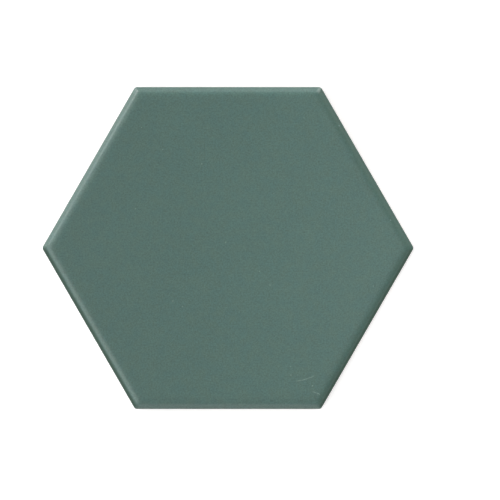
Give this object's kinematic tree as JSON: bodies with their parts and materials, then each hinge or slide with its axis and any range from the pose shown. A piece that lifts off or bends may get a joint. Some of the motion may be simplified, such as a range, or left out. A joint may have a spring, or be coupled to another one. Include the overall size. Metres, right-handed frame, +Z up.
{
  "type": "hexagon floor tile",
  "caption": "Flat regular hexagon floor tile with a satin green glaze, a softly rolled rim, upright sides and a back keyed with a shallow honeycomb.",
  "frame": {"origin": "middle of the back, on the level of the ribs and border that the tile rests on", "axes": "+X from the middle to a corner, +Y square to a side, +Z up through the glazed face"},
  "size_m": [0.1726, 0.15, 0.009],
  "materials": {
    "green_glaze": "satin"
  },
  "bodies": {
    "root": {"hexagon_tile": "green_glaze"}
  },
  "joints": []
}
